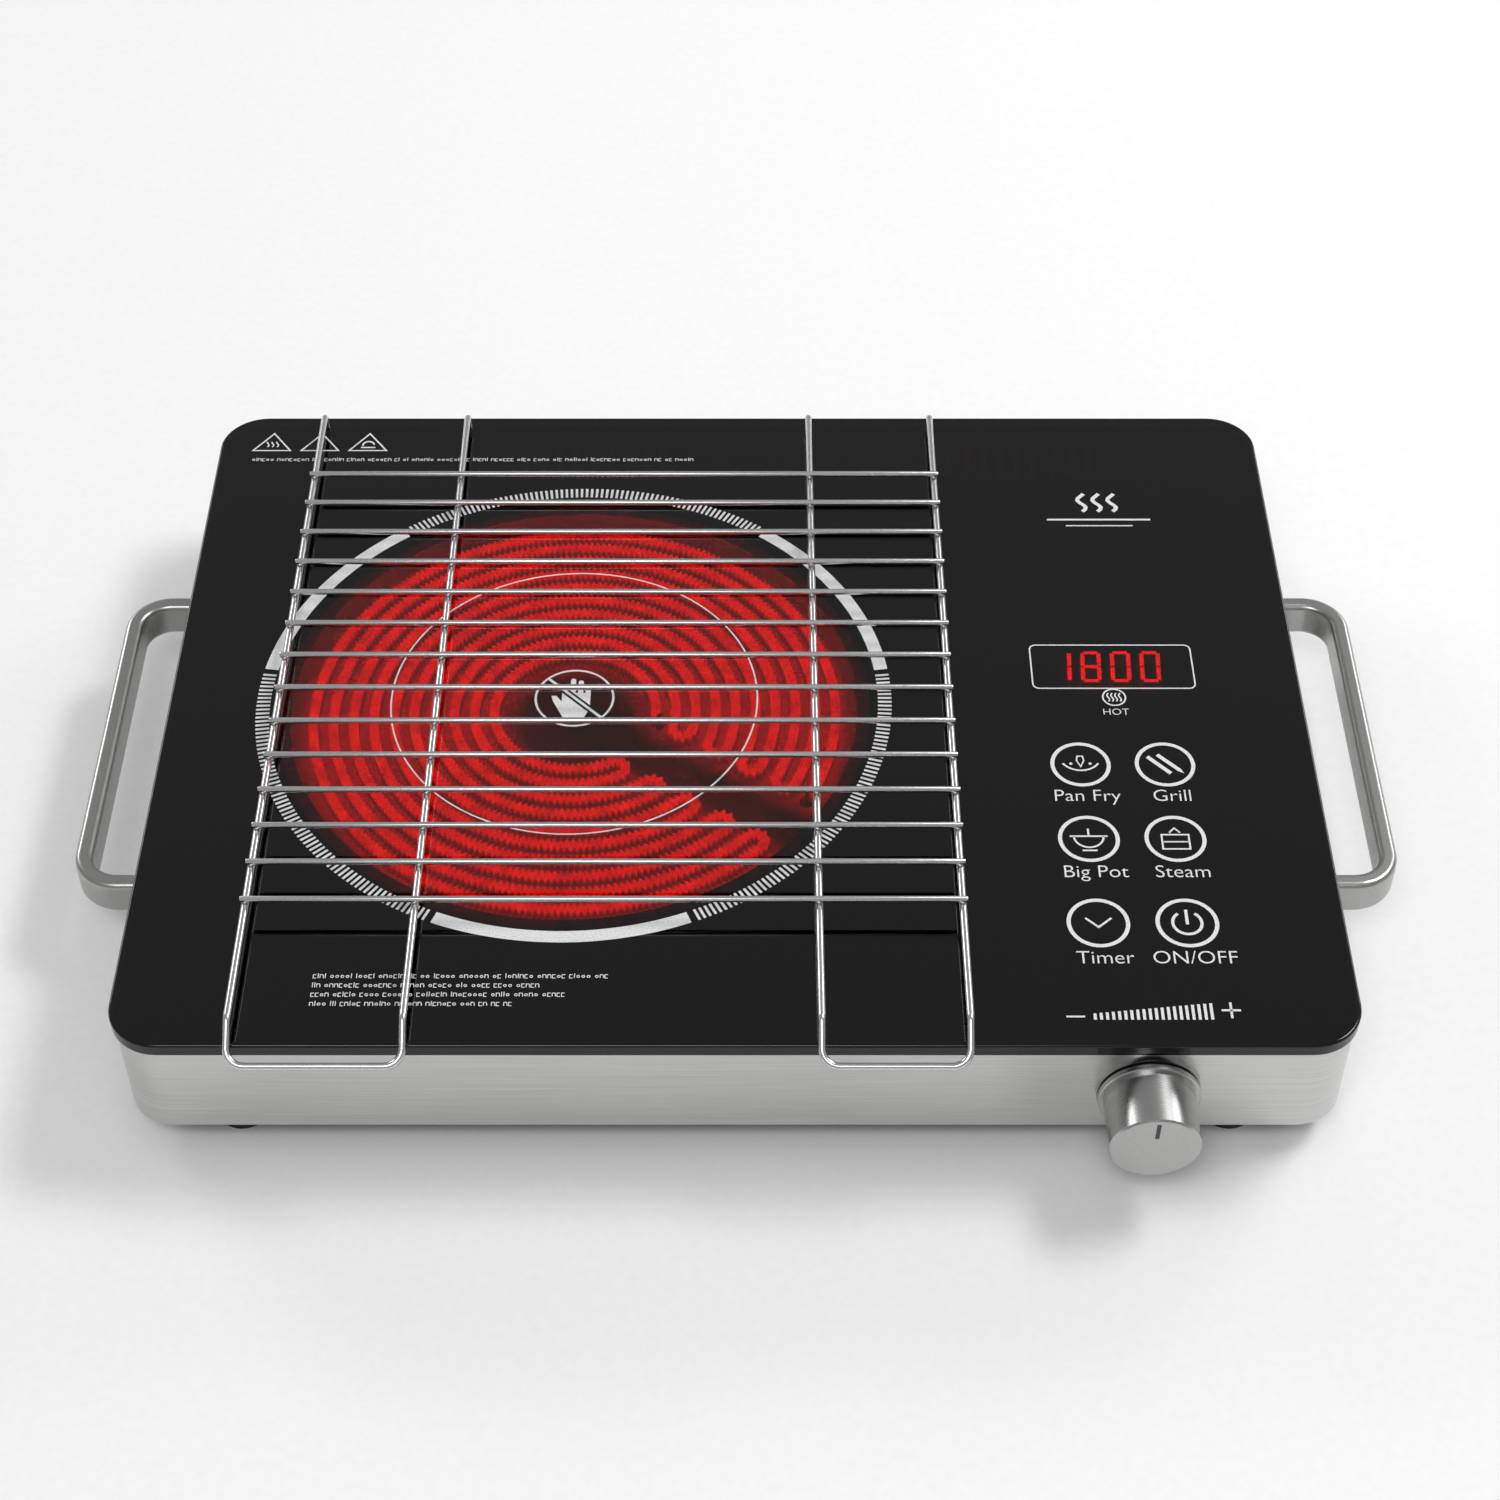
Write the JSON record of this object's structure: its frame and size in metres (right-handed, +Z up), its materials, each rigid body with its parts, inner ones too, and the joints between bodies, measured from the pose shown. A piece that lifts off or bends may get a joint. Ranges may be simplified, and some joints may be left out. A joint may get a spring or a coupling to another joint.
{
  "type": "tabletop cooking plate",
  "caption": "Slim radiant cooking plate with a black glass top, steel case, side handles, front power knob and a lift-off wire grill rack.",
  "frame": {"origin": "under the middle of the whole object, on the plane that the feet stand on", "axes": "+X to the right, +Y to the back (the knob faces -Y), +Z up"},
  "size_m": [0.398, 0.296, 0.0565],
  "materials": {
    "black_glass": "polished",
    "silicone": "matte",
    "brushed_steel": "brushed",
    "coated_steel": "satin",
    "plated_screw": "satin",
    "satin_steel": "satin",
    "turned_aluminium": "turned",
    "zinc_case": "satin",
    "brass": "turned",
    "ceramic_fibre": "matte",
    "glowing_alloy": "oxidised",
    "ceramic": "matte",
    "quartz": "clear",
    "circuit_board": "satin",
    "black_plastic": "moulded",
    "blue_plastic": "moulded",
    "white_plastic": "moulded",
    "display": "moulded",
    "ferrite": "matte",
    "wire_cover": "satin",
    "rubber": "matte",
    "bright_wire": "polished"
  },
  "bodies": {
    "housing": {"base_plate": "coated_steel", "base_screws": "plated_screw", "board_link": "wire_cover", "board_screws": "plated_screw", "body_shell": "brushed_steel", "buzzer": "black_plastic", "control_board": "circuit_board", "control_standoffs": "black_plastic", "cord_gland": "black_plastic", "display_module": "display", "element_leads": "satin_steel", "encoder_nut": "brass", "fan_frame": "black_plastic", "fan_lead": "wire_cover", "fan_screws": "plated_screw", "filter_capacitor": "blue_plastic", "foot_front_left": "rubber", "foot_front_right": "rubber", "foot_rear_left": "rubber", "foot_rear_right": "rubber", "foot_screws": "plated_screw", "fuse": "quartz", "gland_nut": "black_plastic", "glass_plate": "black_glass", "glass_seal": "silicone", "handle_left": "satin_steel", "handle_right": "satin_steel", "handle_screws": "plated_screw", "heat_shield": "zinc_case", "heater_element": "glowing_alloy", "heater_insulation_base": "ceramic_fibre", "heater_insulation_ring": "ceramic_fibre", "heater_pan": "coated_steel", "heater_springs": "satin_steel", "heater_wires": "wire_cover", "heatsink": "turned_aluminium", "hot_indicator": "display", "knob_bezel": "turned_aluminium", "lead_bushings": "ceramic", "limiter_rod": "quartz", "limiter_switch": "ceramic", "mains_terminal_block": "white_plastic", "mains_wires": "wire_cover", "microcontroller": "black_plastic", "power_board": "circuit_board", "power_standoffs": "black_plastic", "relay": "blue_plastic", "rotary_encoder": "zinc_case", "spring_posts": "zinc_case", "touch_springs": "satin_steel", "transformer": "ferrite", "triac": "black_plastic"},
    "knob": {"knob": "turned_aluminium", "encoder_shaft": "satin_steel"},
    "fan_rotor": {"fan_impeller": "black_plastic"},
    "rack": {"rack_loop_left": "bright_wire", "rack_loop_right": "bright_wire", "rack_cross_wires": "bright_wire"}
  },
  "joints": [
    {"name": "knob_turn", "type": "hinge", "parent": "housing", "child": "knob", "pos_m": [0.116, -0.134, 0.028], "axis": [0, -1, 0], "continuous": true},
    {"name": "fan_spin", "type": "hinge", "parent": "housing", "child": "fan_rotor", "pos_m": [0.105, 0.099, 0.018], "axis": [0, 0, 1], "continuous": true},
    {"name": "rack_lift", "type": "slide", "parent": "housing", "child": "rack", "axis": [0, 0, 1], "range_m": [0, 0.12]}
  ]
}
